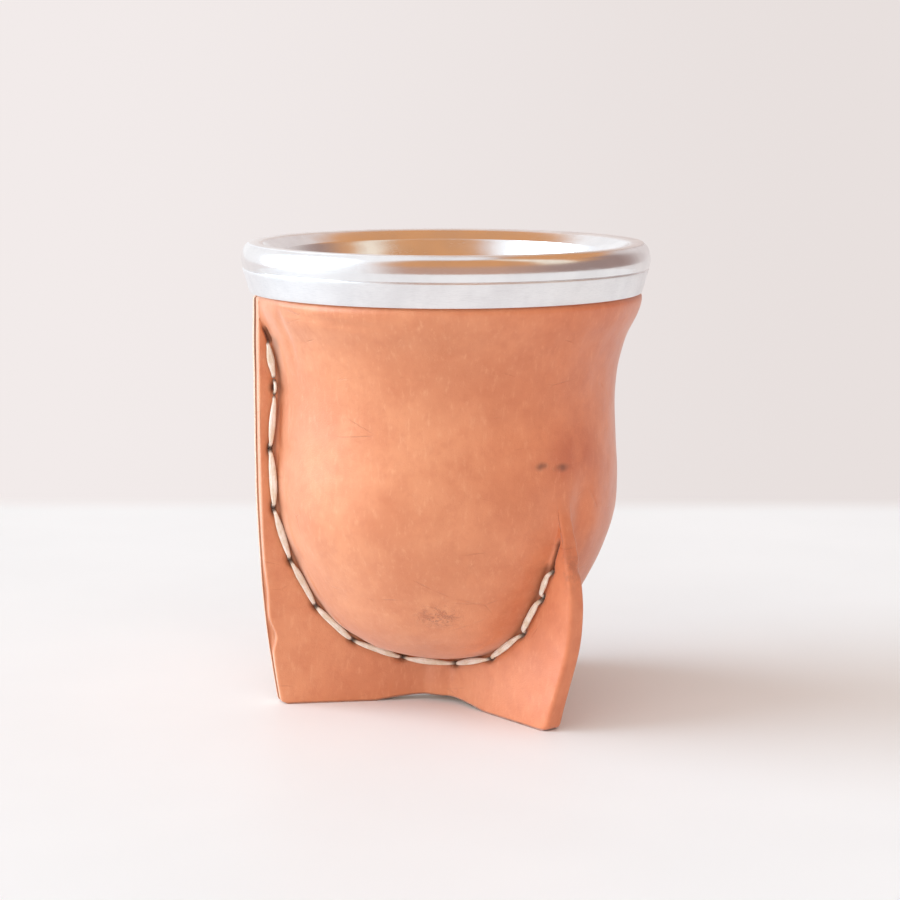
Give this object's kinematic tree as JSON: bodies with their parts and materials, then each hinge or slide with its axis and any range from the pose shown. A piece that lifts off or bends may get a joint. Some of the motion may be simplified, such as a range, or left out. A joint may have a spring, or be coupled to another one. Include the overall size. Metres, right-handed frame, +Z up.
{
  "type": "mate gourd cup",
  "caption": "Leather-wrapped mate gourd cup with a polished aluminium rim, standing on laced leather fins.",
  "frame": {"origin": "on the gourd's axis, at the surface the feet stand on", "axes": "+Z up out of the mouth, -Y the front, the seam fin towards -X"},
  "size_m": [0.0828, 0.0828, 0.0947],
  "materials": {
    "rim": "polished bead and funnel, satin band and top",
    "gourd": "dry calabash, cured dark inside",
    "leather": "smooth vegetable-tanned hide with a soft sheen",
    "lacing": "waxed pale thong"
  },
  "bodies": {
    "root": {"rim": "rim", "gourd": "gourd", "leather_cover": "leather", "lacing_seam": "lacing", "lacing_front": "lacing", "lacing_back": "lacing"}
  },
  "joints": []
}
